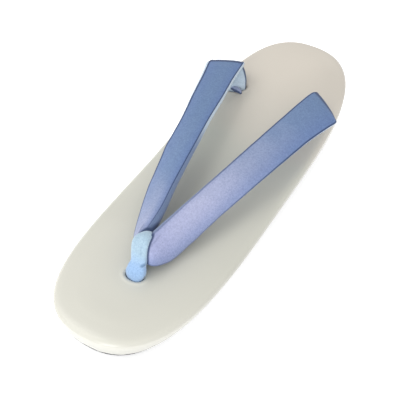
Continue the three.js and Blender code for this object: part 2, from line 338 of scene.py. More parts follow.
# The stuffing's unevenness: the lengths of its waves along and across a band, and their shifts.
LUMPS = table("along across shift", (5.3, 3.1, 0.0), (8.9, -4.3, 1.3), (2.7, 2.5, 2.1))

# The camera and the lights, in metres.
CAMERA_AT = Vector((0.17743, -0.30069, 0.37028))
LOOK_AT = Vector((-0.0003, -0.0141, 0.0188))
SENSOR = 36.0
OVERHEAD_AT = (-0.55, -0.35, 0.95)
OVERHEAD_SIZE = (0.9, 0.9)
TOE_LIGHT_AT = (0.20, -0.95, 0.26)
TOE_LIGHT_SIZE = (0.42, 0.07)

# Scales of the materials' patterns, in waves to a metre.
TONE_DRIFT = 16.0
GLOSS_DRIFT = 320.0
LEATHER_CELLS = 1500.0
LEATHER_PORES = 3800.0
FOAM_CELLS = 1900.0
FOAM_PORES = 900.0
FOAM_BLOOM = 60.0
FOAM_GLOSS = 200.0
CREPE_CRINKLE = 1150.0
CREPE_THREADS = 3200.0
DYE_DRIFT = 45.0
LINING_NAP = 1600.0
LOOP_NAP = 1300.0
LOOP_PILE = 4200.0
FLOOR_DRIFT = 3.0


def through(values, at):
    """Reads values at fractional row numbers, on a smooth curve through them."""
    values = np.asarray(values, float)
    last = len(values) - 1
    at = np.clip(np.asarray(at, float), 0, last)
    i = np.minimum(at.astype(int), last - 1)
    w = at - i
    before, a, b, after = (values[np.clip(i + k, 0, last)] for k in (-1, 0, 1, 2))
    bend = (2 * before - 5 * a + 4 * b - after) * w**2 + (3 * a - before - 3 * b + after) * w**3
    return 0.5 * (2 * a + (b - before) * w + bend)


def along_last(column, y):
    """Reads one column of the last's table at y, on a smooth curve through its rows."""
    stations, values = LAST["y"], LAST[column]
    rows = np.arange(len(stations))
    left, right = np.maximum(rows - 1, 0), np.minimum(rows + 1, rows[-1])
    slopes = (values[right] - values[left]) / (stations[right] - stations[left])
    i = np.clip(np.searchsorted(stations, y) - 1, 0, rows[-1] - 1)
    span = stations[i + 1] - stations[i]
    t = np.clip((y - stations[i]) / span, 0, 1)
    curve = (1 + 2 * t) * (1 - t) ** 2 * values[i] + t * t * (3 - 2 * t) * values[i + 1]
    bend = t * (1 - t) ** 2 * slopes[i] - t * t * (1 - t) * slopes[i + 1]
    return np.maximum(curve + bend * span, 0)


def outline(turn):
    """Points of the outline. turn runs once round from the toe, by the right side first."""
    u = -np.cos(turn * TAU)
    roundness = np.where(u < 0, TOE_ROUNDNESS, HEEL_ROUNDNESS)
    body = MID_HALF_WIDTH - HEEL_TAPER * u + WAIST * u * u
    rounded = np.maximum(1 - np.abs(u) ** roundness, 0) ** (1 / roundness)
    return np.stack([np.sign(np.sin(turn * TAU)) * body * rounded, u * LENGTH / 2], -1)


def inset_outline(inset):
    """The outline moved in by a distance, square to itself."""
    step = 0.002
    turn = np.arange(OUTLINE_STEPS) / OUTLINE_STEPS
    way = outline(turn + step) - outline(turn - step)
    way /= np.linalg.norm(way, axis=1)[:, None]
    return outline(turn) + np.stack([-way[:, 1], way[:, 0]], 1) * inset


def ring(points, heights):
    return np.column_stack([points, heights])


def closing_rings(last_ring, height_at, steps):
    """Rings from last_ring in to the spine, where the two sides meet."""
    edge = last_ring[:, :2]
    spine = np.column_stack([np.zeros(len(edge)), edge[:, 1] * SPINE_SHARE])
    rings = []
    for share in np.linspace(0, 1, steps + 1)[1:]:
        points = edge * (1 - share) + spine * share
        rings.append(ring(points, height_at(points[:, 1])))
    return rings


def ring_faces(rings, sides):
    """Quads between rings that are stacked one after another."""
    r, s = np.meshgrid(np.arange(rings - 1), np.arange(sides), indexing="ij")
    n = (s + 1) % sides
    quads = np.stack([r * sides + s, r * sides + n, (r + 1) * sides + n, (r + 1) * sides + s], -1)
    return quads.reshape(-1, 4).tolist()


def end_faces(first, sides, pole):
    """Triangles from one ring to a pole."""
    return [(first + s, first + (s + 1) % sides, pole) for s in range(sides)]


def stand(name, data):
    """Puts a mesh, a light or a camera into the scene as an object."""
    made = bpy.data.objects.new(name, data)
    bpy.context.scene.collection.objects.link(made)
    return made


def piece(name, points, faces, materials, face_material=None, **attributes):
    """A closed mesh object from points in millimetres, its doubles merged and faces outwards."""
    mesh = bpy.data.meshes.new(name)
    mesh.from_pydata((np.asarray(points) * MM).tolist(), [], faces)
    for material in materials:
        mesh.materials.append(material)
    if face_material is not None:
        mesh.polygons.foreach_set("material_index", np.asarray(face_material, np.int32))
    for key, values in attributes.items():
        layer = mesh.attributes.new(key, "FLOAT", "POINT")
        layer.data.foreach_set("value", np.asarray(values, np.float32))
    work = bmesh.new()
    work.from_mesh(mesh)
    bmesh.ops.remove_doubles(work, verts=work.verts, dist=DOUBLES)
    bmesh.ops.recalc_face_normals(work, faces=work.faces)
    work.to_mesh(mesh)
    work.free()
    mesh.shade_smooth()
    return stand(name, mesh)


def dress(made, slot, *nodes):
    """Puts a finished piece on the frame under the root body and hides the nodes that it stands for.
    The slot is not used.
    """
    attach(made, "root")
    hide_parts(*nodes)
    return made


# Materials.


def fill_inputs(tree, node, inputs):
    """Links a node's inputs to sockets, or sets them to plain values."""
    for key, value in inputs.items():
        if isinstance(value, bpy.types.NodeSocket):
            tree.links.new(value, node.inputs[key])
        else:
            node.inputs[key].default_value = value


def add_node(tree, kind, inputs, **settings):
    node = tree.nodes.new(kind)
    for key, value in settings.items():
        setattr(node, key, value)
    fill_inputs(tree, node, inputs)
    return node


def opaque(colour):
    """A plain colour with its alpha. A socket stays as it is."""
    return colour if isinstance(colour, bpy.types.NodeSocket) else (*colour, 1.0)


class Finish:
    """A material whose nodes are added one after another."""

    def __init__(self, name):
        self.material = bpy.data.materials.new(name)
        self.material.use_nodes = True
        self.tree = self.material.node_tree
        self.shader = self.tree.nodes["Principled BSDF"]
        self.place = self.add("ShaderNodeTexCoord", {}).outputs["Object"]

    def add(self, kind, inputs, **settings):
        return add_node(self.tree, kind, inputs, **settings)

    def noise(self, scale, detail=2.0, distortion=0.0):
        inputs = {"Vector": self.place, "Scale": scale, "Detail": detail, "Distortion": distortion}
        return self.add("ShaderNodeTexNoise", inputs).outputs["Fac"]

    def cells(self, scale, smoothness=0.6):
        inputs = {"Vector": self.place, "Scale": scale, "Smoothness": smoothness}
        node = self.add("ShaderNodeTexVoronoi", inputs, feature="SMOOTH_F1")
        return node.outputs["Distance"]

    def attribute(self, name, *reach):
        """A value that the piece's own mesh holds, spread where a reach is given."""
        value = self.add("ShaderNodeAttribute", {}, attribute_name=name).outputs["Fac"]
        return self.spread(value, *reach) if reach else value

    def math(self, operation, a, b):
        return self.add("ShaderNodeMath", {0: a, 1: b}, operation=operation).outputs[0]

    def spread(self, value, low, high, to_low=0.0, to_high=1.0):
        inputs = {"Value": value, "From Min": low, "From Max": high}
        inputs |= {"To Min": to_low, "To Max": to_high}
        node = self.add("ShaderNodeMapRange", inputs, interpolation_type="SMOOTHSTEP")
        return node.outputs["Result"]

    def drift(self, scale, low, high, detail=3.0):
        """A value that wanders slowly between low and high."""
        return self.spread(self.noise(scale, detail), 0.3, 0.7, low, high)

    def mix(self, share, a, b, blend="MIX"):
        """Mixes two colours. The node has an A and a B of each type, so the type is asked for too."""
        node = self.add("ShaderNodeMix", {}, data_type="RGBA", blend_type=blend)
        wanted = {("Factor", "VALUE"): share, ("A", "RGBA"): opaque(a), ("B", "RGBA"): opaque(b)}
        sockets = [(socket.name, socket.type) for socket in node.inputs]
        fill_inputs(self.tree, node, {sockets.index(key): value for key, value in wanted.items()})
        return next(s for s in node.outputs if s.type == "RGBA")

    def mottle(self, tone, pattern, reach, dark, light):
        """Darkens and lightens a tone by a pattern whose values lie within reach."""
        return self.mix(1.0, tone, self.mix(self.spread(pattern, *reach), dark, light), "MULTIPLY")

    def ramp(self, value, *stops):
        node = self.add("ShaderNodeValToRGB", {"Fac": value})
        elements = node.color_ramp.elements
        while len(elements) < len(stops):
            elements.new(0.5)
        for element, (position, colour) in zip(elements, stops):
            element.position = position
            element.color = opaque(colour)
        return node.outputs["Color"]

    def bump(self, height, distance, strength=1.0, under=None):
        inputs = {"Height": height, "Distance": distance, "Strength": strength}
        if under is not None:
            inputs["Normal"] = under
        return self.add("ShaderNodeBump", inputs).outputs["Normal"]

    def surface(self, **sockets):
        named = {key.replace("_", " "): value for key, value in sockets.items()}
        fill_inputs(self.tree, self.shader, named)
        return self.material


def leathercloth(sizes):
    """Satin pearl-coated leathercloth: a fine grain under a soft coat, its tone drifting a little,
    with painted light at the toe and painted shade under its edge and down in its holes.
    """
    finish = Finish("pearl_leathercloth")
    cloud = finish.drift(TONE_DRIFT, -0.03, 0.03, 1.5)
    from_toe = finish.add("ShaderNodeSeparateXYZ", {0: finish.place}).outputs["Y"]
    # Painted light: the lighter stop at the toe stands for light falling on it from the front.
    tone = finish.ramp(
        finish.spread(finish.math("ADD", from_toe, cloud), -0.13, 0.13),
        (0.0, sizes.toe_colour),
        (0.38, sizes.colour),
        (0.62, sizes.colour),
        (1.0, sizes.heel_colour),
    )
    # Painted shade on the wall where the cloth turns under the board.
    tuck_shade = finish.math("MULTIPLY", finish.attribute("shade"), 0.7)
    tuck_shaded = finish.mix(tuck_shade, tone, sizes.tuck_colour)
    # fold holds the painted shade down inside the holes.
    fold = finish.attribute("fold", 0.0, 1.0, 0.0, 0.75)
    grain = finish.math("ADD", finish.cells(LEATHER_CELLS), finish.noise(LEATHER_PORES, 2.0))
    return finish.surface(
        Base_Color=finish.mix(fold, tuck_shaded, sizes.hole_colour),
        Roughness=finish.drift(GLOSS_DRIFT, 0.36, 0.44),
        Normal=finish.bump(grain, 0.00003, 0.35),
        Coat_Weight=0.45,
        Coat_Roughness=0.2,
    )


def foam_rubber(sizes):
    """Matt black foam rubber with fine pores and a slightly greyed face."""
    finish = Finish("foam_rubber")
    pores = finish.math("ADD", finish.cells(FOAM_CELLS, 0.2), finish.noise(FOAM_PORES, 4.0))
    bloom = finish.spread(finish.noise(FOAM_BLOOM, 4.0), 0.4, 0.75)
    lighter = tuple(min(c * 1.9 + 0.01, 1) for c in sizes.colour)
    return finish.surface(
        Base_Color=finish.mix(bloom, sizes.colour, lighter),
        Roughness=finish.drift(FOAM_GLOSS, 0.62, 0.8),
        Normal=finish.bump(pores, 0.00012, 0.5),
    )


def crepe(sizes):
    """Crinkled crepe, dyed slate blue at the rear and fading to lavender, darker in its seams, with
    painted shade at its edges, along the fold, in its creases and where it touches other pieces.
    """
    finish = Finish("crepe")
    crinkle = finish.noise(CREPE_CRINKLE, 3.0, 0.9)
    fine = finish.noise(CREPE_THREADS, 2.0)
    wander = finish.drift(DYE_DRIFT, -0.05, 0.05, 2.0)
    dye = finish.ramp(
        finish.math("ADD", finish.attribute("dye"), wander),
        (0.0, sizes.tip_colour),
        (0.25, sizes.front_colour),
        (0.50, sizes.middle_colour),
        (0.75, sizes.late_colour),
        (1.0, sizes.rear_colour),
    )
    # Painted shade: the crepe darkens where the face turns down towards its edges.
    edge = finish.attribute("edge", 0.0, 1.0, 0.0, 0.55)
    edge_shaded = finish.mix(edge, dye, sizes.edge_colour)
    mottled = finish.mottle(edge_shaded, crinkle, (0.32, 0.68), (0.86, 0.87, 0.90), (1.09, 1.09, 1.07))
    seam = finish.attribute("seam", 0.35, 1.05, 0.92, 0.0)
    depth = finish.attribute("dye", 0.1, 0.75, 0.5, 1.0)
    seamed = finish.mix(finish.math("MULTIPLY", seam, depth), mottled, sizes.seam_colour)
    # Painted shade in creases and where pieces touch.
    fold = finish.attribute("fold", 0.1, 1.0, 0.0, 0.9)
    threads = finish.bump(fine, 0.00005, 0.6)
    return finish.surface(
        Base_Color=finish.mix(fold, seamed, sizes.seam_colour),
        Roughness=finish.spread(crinkle, 0.3, 0.7, 0.9, 0.78),
        Normal=finish.bump(crinkle, 0.00014, 0.6, threads),
        Specular_IOR_Level=0.25,
        Sheen_Weight=0.25,
        Sheen_Roughness=0.45,
    )


def soft_lining(sizes):
    """Pale blue brushed lining, with painted shade towards the toes and in its creases."""
    finish = Finish("brushed_lining")
    nap = finish.noise(LINING_NAP, 4.0, 0.4)
    # Painted shade: the lining darkens towards the toes, where it lies in shade.
    rear = finish.attribute("dye", 0.80, 1.00)
    dye = finish.mix(rear, sizes.lining_shade_colour, sizes.lining_colour)
    mottled = finish.mottle(dye, nap, (0.3, 0.7), (0.86, 0.86, 0.86), (1, 1, 1))
    # Painted shade in creases and where pieces touch.
    fold = finish.attribute("fold", 0.1, 1.0, 0.0, 0.9)
    return finish.surface(
        Base_Color=finish.mix(fold, mottled, sizes.seam_colour),
        Roughness=finish.spread(nap, 0.3, 0.7, 0.95, 0.85),
        Normal=finish.bump(nap, 0.00012, 0.5),
        Specular_IOR_Level=0.2,
        Sheen_Weight=0.4,
        Sheen_Roughness=0.5,
    )


def napped_cloth(sizes):
    """Soft napped cloth, a little deeper in colour towards the footbed, with painted shade in its
    folds.
    """
    finish = Finish("napped_cloth")
    nap = finish.noise(LOOP_NAP, 4.0, 0.6)
    pile = finish.noise(LOOP_PILE, 2.0)
    dye = finish.ramp(
        finish.attribute("along"),
        (0.0, sizes.low_colour),
        (0.22, sizes.low_colour),
        (0.34, sizes.colour),
        (1.0, sizes.colour),
    )
    mottled = finish.mottle(dye, nap, (0.3, 0.7), (0.84, 0.86, 0.9), (1.08, 1.07, 1.05))
    # Painted shade in the troughs between the puckers.
    fold = finish.attribute("fold", 0.1, 0.8, 0.0, 0.8)
    return finish.surface(
        Base_Color=finish.mix(fold, mottled, sizes.fold_colour),
        Roughness=finish.spread(nap, 0.3, 0.7, 0.95, 0.86),
        Normal=finish.bump(nap, 0.0002, 0.6, finish.bump(pile, 0.00006, 0.5)),
        Specular_IOR_Level=0.2,
        Sheen_Weight=0.45,
        Sheen_Roughness=0.5,
    )


def pale_floor(sizes):
    """Even white floor that glows a little, so that the shadows on it stay faint."""
    finish = Finish("pale_floor")
    darker = tuple(c * 0.99 for c in sizes.floor_colour)
    return finish.surface(
        Base_Color=finish.mix(finish.drift(FLOOR_DRIFT, 0.0, 1.0, 2.0), sizes.floor_colour, darker),
        Roughness=0.9,
        Specular_IOR_Level=0.1,
        Emission_Color=(1, 1, 1, 1),
        Emission_Strength=sizes.floor_glow,
    )


# The footbed and the sole.


def hole_distance(points, hole):
    """How far points lie outside a hole's edge, along the ray from its centre. Inside is negative."""
    turn = math.radians(hole["turn"])
    way = np.array([math.cos(turn), math.sin(turn)])
    off = points - np.array([hole["x"], hole["y"]])
    along, across = off @ way, off @ np.array([-way[1], way[0]])
    long, wide = np.abs(along / hole["length"]), np.abs(across / hole["width"])
    share = (long**HOLE_ROUNDNESS + wide**HOLE_ROUNDNESS) ** (1 / HOLE_ROUNDNESS)
    reach = np.linalg.norm(off, axis=1)
    return reach - reach / np.maximum(share, 1e-6)


def footbed_rings():
    """The footbed's rings from under the board up to its middle, and how much painted shade each one
    gets.
    """
    steps = np.linspace(0, len(FOOTBED_EDGE["inset"]) - 1, EDGE_RINGS)
    rings, shades = [], []
    edge = [through(values, steps) for values in FOOTBED_EDGE.values()]
    for inset, wall, over, shade in zip(*edge):
        points = inset_outline(inset)
        welt = along_last("welt", points[:, 1]) + SEAM_GAP
        rim = along_last("rim", points[:, 1])
        rings.append(ring(points, welt + (rim - welt) * wall + over * EDGE_RISE))
        shades.append(min(max(shade, 0), 1))
    crown = FOOTBED_EDGE["over"][-1] * EDGE_RISE
    top = closing_rings(rings[-1], lambda y: along_last("rim", y) + crown, TOP_RINGS)
    under = closing_rings(rings[0], lambda y: along_last("welt", y) + SEAM_GAP, UNDER_RINGS)
    return under[::-1] + rings + top, [1.0] * len(under) + shades + [0.0] * len(top)


def refine(made, near, levels):
    """Cuts the faces finer where near says that their middles lie close to a hole."""
    work = bmesh.new()
    work.from_mesh(made.data)
    for reach in levels:
        upper = [f for f in work.faces if f.normal.z > FACING_UP]
        close = [f for f in upper if near(f.calc_center_median(), reach)]
        edges = {e for f in close for e in f.edges}
        bmesh.ops.subdivide_edges(work, edges=list(edges), cuts=1, use_grid_fill=True)
    work.to_mesh(made.data)
    work.free()


def vertex_values(made, key):
    values = np.empty(len(made.data.vertices) * 3)
    made.data.vertices.foreach_get(key, values)
    return values.reshape(-1, 3)


def press_holes(made, sizes):
    """Presses the holes into the footbed, each with a soft lip that the cloth is drawn over, and
    marks the painted shade down inside each hole.
    """
    points = vertex_values(made, "co") / MM
    top = vertex_values(made, "normal")[:, 2] > FACING_UP
    fold = np.zeros(len(points))
    lip, ridge, dent = sizes.lip / MM, sizes.lip_ridge / MM, sizes.dent / MM
    for hole in rows_of(HOLES):
        far = hole_distance(points[:, :2], hole)
        outside = np.maximum(far, 0)
        from_ridge = (outside - RIDGE_PLACE * lip) / (RIDGE_SPREAD * lip)
        drawn = lip * np.exp(-outside / (LIP_FALL * lip))
        pulled = dent * np.exp(-((outside / DENT_REACH) ** 2))
        inside = np.clip(-far / WELL_SLOPE, 0, 1)
        well = hole["depth"] * inside * inside * (3 - 2 * inside)
        rise = ridge * np.exp(-(from_ridge**2)) - drawn - pulled - well
        points[:, 2] += np.where(top, rise, 0)
        # Painted shade: the cloth darkens down inside each hole.
        shade = np.clip(1 - (far - RIM_SHADE_FROM) / WELL_SLOPE, 0, 1)
        fold = np.maximum(fold, np.where(top, shade, 0))
    made.data.vertices.foreach_set("co", (points * MM).ravel())
    layer = made.data.attributes.new("fold", "FLOAT", "POINT")
    layer.data.foreach_set("value", fold.astype(np.float32))
    made.data.update()


def tuck_pleats(rings, depth):
    """Gathers the leathercloth where it turns under the board at the toe and the heel."""
    for row in rings:
        rim, welt = along_last("rim", row[:, 1]), along_last("welt", row[:, 1])
        height = (row[:, 2] - welt) / (rim - welt)
        low = np.clip(1 - height / PLEAT_HEIGHT, 0, 1) * (height > PLEAT_FOOT)
        ends = np.clip((np.abs(row[:, 1]) / (LENGTH / 2) - PLEAT_FROM) / PLEAT_FADE, 0, 1)
        bearing = np.arctan2(row[:, 0], row[:, 1])[:, None]
        pleat = (np.sin(bearing * PLEATS["count"] + PLEATS["shift"]) * PLEATS["depth"]).sum(1)
        way = row[:, :2] / np.linalg.norm(row[:, :2], axis=1)[:, None]
        row[:, :2] += way * (pleat * low * ends * depth)[:, None]
    return rings


def make_footbed(sizes):
    rings, shades = footbed_rings()
    rings = tuck_pleats(rings, sizes.pleat / MM)
    faces = ring_faces(len(rings), OUTLINE_STEPS)
    shade = np.repeat(shades, OUTLINE_STEPS)
    made = piece("footbed_cover", np.concatenate(rings), faces, [leathercloth(sizes)], shade=shade)
    holes = rows_of(HOLES)

    def near(middle, reach):
        spot = np.array([[middle.x / MM, middle.y / MM]])
        return any(abs(hole_distance(spot, hole)[0]) < reach for hole in holes)

    refine(made, near, HOLE_ZONES)
    press_holes(made, sizes)
    return made


def sole_rings(rib_height):
    steps = np.linspace(0, len(SOLE_SIDE["inset"]) - 1, SIDE_RINGS)
    side = []
    for inset, height in zip(through(SOLE_SIDE["inset"], steps), through(SOLE_SIDE["height"], steps)):
        points = inset_outline(inset)
        toe = np.clip((TOE_SOLE_FROM - points[:, 1]) / TOE_SOLE_LENGTH, 0, 1) * TOE_SOLE_GROWTH
        points = points + unit(points) * toe[:, None]
        lift, welt = along_last("lift", points[:, 1]), along_last("welt", points[:, 1])
        side.append(ring(points, lift + (welt - lift) * np.clip(height, 0, 1)))
    border = inset_outline(SOLE_SIDE["inset"][0] + BORDER)
    inner = inset_outline(SOLE_SIDE["inset"][0] + BORDER + BORDER_SLOPE)
    lip = ring(border, along_last("lift", border[:, 1]))
    recess = ring(inner, along_last("lift", inner[:, 1]) + rib_height)
    under = closing_rings(recess, lambda y: along_last("lift", y) + rib_height, SOLE_RINGS)
    top = closing_rings(side[-1], lambda y: along_last("welt", y), SOLE_RINGS)
    return under[::-1] + [recess, lip] + side + top


def make_sole(sizes):
    rings = sole_rings(sizes.rib_height / MM)
    faces = ring_faces(len(rings), OUTLINE_STEPS)
    return piece("sole_wedge", np.concatenate(rings), faces, [foam_rubber(sizes)])


def rib_lines(sizes):
    """One straight line across the sole for each rib of the tread."""
    border = inset_outline(SOLE_SIDE["inset"][0] + BORDER + BORDER_SLOPE + RIB_CLEARANCE)
    right = border[border[:, 0] > 0]
    right = right[np.argsort(right[:, 1])]
    spacing = sizes.rib_spacing / MM
    count = int((right[-1, 1] - right[0, 1] - spacing) / spacing)
    first = -count * spacing / 2
    points, edges = [], []
    for y in first + spacing * np.arange(count + 1):
        half = np.interp(y, right[:, 1], right[:, 0]) - RIB_END
        if half < SHORTEST_RIB:
            continue
        low = along_last("lift", np.array([y]))[0]
        edges.append((len(points), len(points) + 1))
        points += [(-half * MM, y * MM, low * MM), (half * MM, y * MM, low * MM)]
    mesh = bpy.data.meshes.new("tread_ribs")
    mesh.from_pydata(points, edges, [])
    return stand("tread_lines", mesh)


def rib_tree(material):
    """Turns each line into a wavy rib with sloping sides."""
    tree = bpy.data.node_groups.new("tread_ribs", "GeometryNodeTree")
    face = tree.interface
    face.new_socket("Geometry", in_out="INPUT", socket_type="NodeSocketGeometry")
    for name in ("Rib Width", "Rib Height", "Wave Height", "Wave Length", "Step"):
        face.new_socket(name, in_out="INPUT", socket_type="NodeSocketFloat")
    face.new_socket("Geometry", in_out="OUTPUT", socket_type="NodeSocketGeometry")
    add = partial(add_node, tree)

    def calc(operation, a, b):
        return add("ShaderNodeMath", {0: a, 1: b}, operation=operation).outputs[0]

    given = add("NodeGroupInput", {}).outputs
    curve = add("GeometryNodeMeshToCurve", {"Mesh": given["Geometry"]})
    stepped = {"Curve": curve.outputs[0], "Length": given["Step"]}
    fine = add("GeometryNodeResampleCurve", stepped, mode="LENGTH")
    place = add("ShaderNodeSeparateXYZ", {0: add("GeometryNodeInputPosition", {}).outputs[0]})
    turn = calc("MULTIPLY", calc("DIVIDE", place.outputs["X"], given["Wave Length"]), TAU)
    wave = calc("MULTIPLY", calc("SINE", turn, 0.0), given["Wave Height"])
    shift = add("ShaderNodeCombineXYZ", {"Y": wave, "Z": calc("MULTIPLY", given["Rib Height"], 0.5)})
    waved = add("GeometryNodeSetPosition", {"Geometry": fine.outputs[0], "Offset": shift.outputs[0]})
    upright = add("GeometryNodeSetCurveNormal", {"Curve": waved.outputs[0]}, mode="Z_UP")
    section = add(
        "GeometryNodeCurvePrimitiveQuadrilateral",
        {
            "Bottom Width": given["Rib Width"],
            "Top Width": calc("MULTIPLY", given["Rib Width"], RIB_FLARE),
            "Height": given["Rib Height"],
            "Offset": 0.0,
        },
        mode="TRAPEZOID",
    )
    rib = add(
        "GeometryNodeCurveToMesh",
        {"Curve": upright.outputs[0], "Profile Curve": section.outputs[0], "Fill Caps": True},
    )
    flat = add("GeometryNodeSetShadeSmooth", {"Geometry": rib.outputs[0], "Shade Smooth": False})
    real = add("GeometryNodeRealizeInstances", {"Geometry": flat.outputs[0]})
    painted = add("GeometryNodeSetMaterial", {"Geometry": real.outputs[0], "Material": material})
    add("NodeGroupOutput", {0: painted.outputs[0]})
    return tree


def grown(made, tree, name, **inputs):
    """Runs a geometry tree on an object and gives its result as a plain mesh object."""
    modifier = made.modifiers.new("grow", "NODES")
    modifier.node_group = tree
    for item in tree.interface.items_tree:
        key = item.name.replace(" ", "_").lower()
        if item.in_out == "INPUT" and key in inputs:
            modifier[item.identifier] = inputs[key]
    bpy.context.view_layer.update()
    depsgraph = bpy.context.evaluated_depsgraph_get()
    mesh = bpy.data.meshes.new_from_object(made.evaluated_get(depsgraph))
    made.modifiers.remove(modifier)
    bpy.data.objects.remove(made)
    return stand(name, mesh)


def make_tread(sizes, material):
    return grown(
        rib_lines(sizes),
        rib_tree(material),
        "sole_tread",
        rib_width=sizes.rib_width,
        rib_height=sizes.rib_height,
        wave_height=sizes.wave_height,
        wave_length=sizes.wave_length,
        step=sizes.wave_length / STEPS_A_WAVE,
    )


# The straps and the toe loop.

BAND_SIDES = 72
STRAP_SQUARENESS = 2.35
LOOP_SQUARENESS = 2.7
PLAIN_SEAMS = (0.16, 0.16)
GATHER_SQUARENESS = 2.0
BAND_STEP = 0.8
FOLD_STEP = 0.4
FOLD_SPAN = 4.5  # rows that lie closer than this are a fold
LEAST_STEPS = 3
SEAM_WIDTH = 0.42
SEAM_DEPTH = 0.38
SEAM_PULL = 0.08  # how far a section's points are drawn towards its seams
FACE_EDGE = 3  # how sharply the creases end at a band's edges
NO_SEAM = 9.0  # a distance that no seam's dye reaches
# Painted shade round a gather's rim, where the roll tucks in.
GATHER_SHADE_RIM = 0.58  # where a gather's dark rim begins, as a share of its half width
GATHER_FADE = 0.3
GATHER_DYE = 0.5


def band_turns(seams):
    """Angles round a band's section, closer together at its two seams."""
    spread = np.arange(BAND_SIDES) / BAND_SIDES * TAU
    pull = 0.0
    for seam in (seams[0], math.pi - seams[1]):
        pull = pull - SEAM_PULL * np.sin(2 * (spread - seam))
    return np.sort(np.mod(spread + pull, TAU))


def band_stations(rows):
    """Row numbers to cut a band at, evenly along its middle and closer over tight folds."""
    middle = np.stack([(rows[f"in_{a}"] + rows[f"out_{a}"]) / 2 for a in "xyz"], 1)
    stations = [0.0]
    for row in range(len(middle) - 1):
        span = np.linalg.norm(middle[row + 1] - middle[row])
        step = FOLD_STEP if span < FOLD_SPAN else BAND_STEP
        count = max(int(math.ceil(span / step)), LEAST_STEPS)
        stations += [row + k / count for k in range(1, count + 1)]
    return np.array(stations)


def section(turn, squareness):
    power = 2 / squareness
    cos, sin = np.cos(turn), np.sin(turn)
    return np.sign(cos) * np.abs(cos) ** power, np.sign(sin) * np.abs(sin) ** power


def unit(vectors):
    return vectors / np.maximum(np.linalg.norm(vectors, axis=-1, keepdims=True), 1e-9)


def band_grid(rows, squareness, seams=PLAIN_SEAMS):
    """Rings of a padded band through a table, with what its creases and colours are placed by."""
    at = band_stations(rows)
    turn = band_turns(seams)
    inner = np.stack([through(rows[f"in_{a}"], at) for a in "xyz"], 1)
    outer = np.stack([through(rows[f"out_{a}"], at) for a in "xyz"], 1)
    thick = through(rows["thick"], at)
    middle = (inner + outer) / 2
    step = np.linalg.norm(np.diff(middle, axis=0), axis=1)
    along = np.concatenate([[0], np.cumsum(step)])
    way = unit(np.gradient(middle, along, axis=0))
    half = np.linalg.norm(outer - inner, axis=1) / 2
    across = unit(outer - inner)
    face = unit(np.cross(across, way))
    u, v = section(turn, squareness)
    wide = across[:, None] * (half[:, None] * u)[..., None]
    deep = face[:, None] * (thick[:, None] / 2 * v)[..., None]
    return {
        "points": middle[:, None] + wide + deep,
        "along": np.repeat(along[:, None], len(turn), 1),
        "across": half[:, None] * u,
        "turn": np.repeat(turn[None], len(at), 0),
        "half": np.repeat(half[:, None], len(turn), 1),
        "row": np.repeat(at[:, None], len(turn), 1),
        "seams": seams,
    }


def grid_normals(points):
    down = np.gradient(points, axis=0)
    round_ = np.roll(points, -1, 1) - np.roll(points, 1, 1)
    return unit(np.cross(round_, down))


def crease_depth(grid, creases):
    """How deep the listed creases press into a band's upper face, and the painted shade that
    their troughs alone get.
    """
    depth = np.zeros(grid["along"].shape)
    crease_shade = np.zeros(grid["along"].shape)
    facing = np.clip(np.sin(grid["turn"]) * FACE_EDGE, 0, 1)
    for crease in rows_of(creases):
        turn = math.radians(crease["turn"])
        x, y = grid["along"] - crease["along"], grid["across"] - crease["across"]
        lengthwise = (x * math.cos(turn) + y * math.sin(turn)) / crease["length"]
        crosswise = (y * math.cos(turn) - x * math.sin(turn)) / crease["width"]
        shape = np.exp(-(lengthwise**4)) * np.exp(-(crosswise**2)) * facing
        depth += crease["depth"] * shape
        # Painted shade in each crease's trough.
        crease_shade = np.maximum(crease_shade, shape * min(crease["depth"] / crease["width"], 1))
    return depth, crease_shade


def seam_distance(grid):
    """Millimetres from the nearer of a band's two seams, measured round its section."""
    points, turn = grid["points"], grid["turn"]
    step = np.linalg.norm(np.roll(points, -1, 1) - points, axis=2)
    round_ = np.cumsum(step, 1) - step
    total = step.sum(1)[:, None]
    nearest = np.full(turn.shape, 1e9)
    for seam in (grid["seams"][0], math.pi - grid["seams"][1]):
        here = np.array([np.interp(seam, t, r) for t, r in zip(turn, round_)])[:, None]
        gap = np.abs(round_ - here)
        nearest = np.minimum(nearest, np.minimum(gap, total - gap))
    return nearest


def swell(grid, sink, lumpiness):
    """Moves a band's skin in by sink, and in and out with the slight unevenness of its stuffing."""
    first, second, third = (
        np.sin(grid["along"] / row["along"] + grid["across"] / row["across"] + row["shift"])
        for row in rows_of(LUMPS)
    )
    out = lumpiness / MM * (first + second) / 2 * third - sink
    grid["points"] = grid["points"] + grid_normals(grid["points"]) * out[..., None]


def close_band(name, grid, materials, two_sided, side=1, **extra):
    """A band's rings as one closed piece. Its upper face has the first material, its lining the
    second."""
    points = grid["points"] * np.array([side, 1, 1])
    rings, sides = points.shape[:2]
    flat = points.reshape(-1, 3)
    poles = [points[0].mean(0), points[-1].mean(0)]
    faces = ring_faces(rings, sides)
    kinds = [0] * len(faces)
    if two_sided:
        turn = grid["turn"][0]
        middle = (turn + np.roll(turn, -1)) / 2
        middle[-1] = (turn[-1] + TAU + turn[0]) / 2 % TAU
        cover = (middle > grid["seams"][0]) & (middle < math.pi - grid["seams"][1])
        kinds = np.tile(np.where(cover, 0, 1), rings - 1).tolist()
    faces += end_faces(0, sides, len(flat)) + end_faces((rings - 1) * sides, sides, len(flat) + 1)
    kinds += [0] * (2 * sides)
    attributes = {
        key: np.concatenate([value.ravel(), [value[0].mean(), value[-1].mean()]])
        for key, value in extra.items()
    }
    return piece(name, np.vstack([flat, *poles]), faces, materials, kinds, **attributes)


